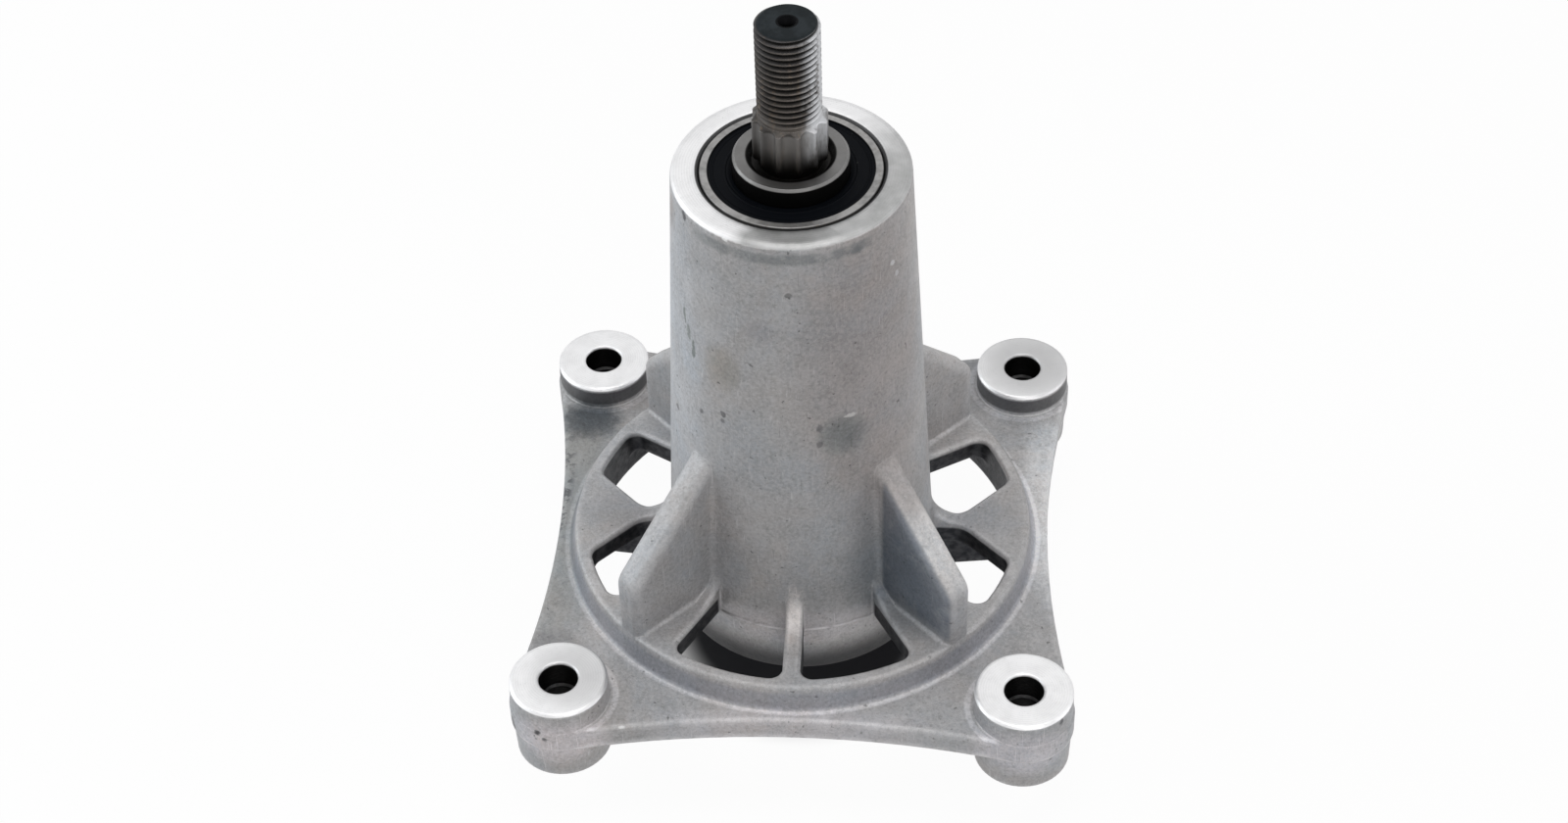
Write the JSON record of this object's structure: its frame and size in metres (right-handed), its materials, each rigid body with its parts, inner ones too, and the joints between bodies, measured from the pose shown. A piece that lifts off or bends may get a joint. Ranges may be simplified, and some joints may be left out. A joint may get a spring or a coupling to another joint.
{
  "type": "mower blade hub",
  "caption": "Cast hub with a tall tapered tube on a square flange, ribbed round web, and a splined, threaded spindle turning in sealed ball bearings.",
  "frame": {"origin": "centre of the four bolt holes, in the plane of the machined boss tops", "axes": "+Z along the spindle towards its threaded end; +X and +Y along the sides of the square flange, +X along a spoke that flares at the ring"},
  "size_m": [0.1282, 0.1282, 0.1814],
  "materials": {
    "cast_aluminium": "matte as-cast skin, machined boss tops and rim",
    "spindle_steel": "turned steel, lightly oiled",
    "bearing_steel": "ground bearing steel",
    "seal_rubber": "black moulded rubber",
    "cage_steel": "pressed steel sheet"
  },
  "bodies": {
    "casting": {"housing": "cast_aluminium", "upper_outer_ring": "bearing_steel", "upper_outer_seal": "seal_rubber", "upper_inner_seal": "seal_rubber", "lower_outer_ring": "bearing_steel", "lower_outer_seal": "seal_rubber", "lower_inner_seal": "seal_rubber"},
    "spindle": {"shaft": "spindle_steel", "spacer_sleeve": "spindle_steel", "upper_inner_ring": "bearing_steel", "lower_inner_ring": "bearing_steel"},
    "upper_cage": {"upper_cage_top": "cage_steel", "upper_cage_bottom": "cage_steel", "upper_cage_rivets": "cage_steel", "upper_balls": "bearing_steel"},
    "lower_cage": {"lower_cage_top": "cage_steel", "lower_cage_bottom": "cage_steel", "lower_cage_rivets": "cage_steel", "lower_balls": "bearing_steel"}
  },
  "joints": [
    {"name": "spindle_spin", "type": "hinge", "parent": "casting", "child": "spindle", "pos_m": [0, 0, 0], "axis": [0, 0, 1], "continuous": true},
    {"name": "upper_cage_spin", "type": "hinge", "parent": "casting", "child": "upper_cage", "pos_m": [0, 0, 0.1009], "axis": [0, 0, 1], "continuous": true},
    {"name": "lower_cage_spin", "type": "hinge", "parent": "casting", "child": "lower_cage", "pos_m": [0, 0, -0.014], "axis": [0, 0, 1], "continuous": true}
  ],
  "couplings": [
    {"joint": "upper_cage_spin", "follows": "spindle_spin", "ratio": 0.38299},
    {"joint": "lower_cage_spin", "follows": "spindle_spin", "ratio": 0.38299}
  ]
}
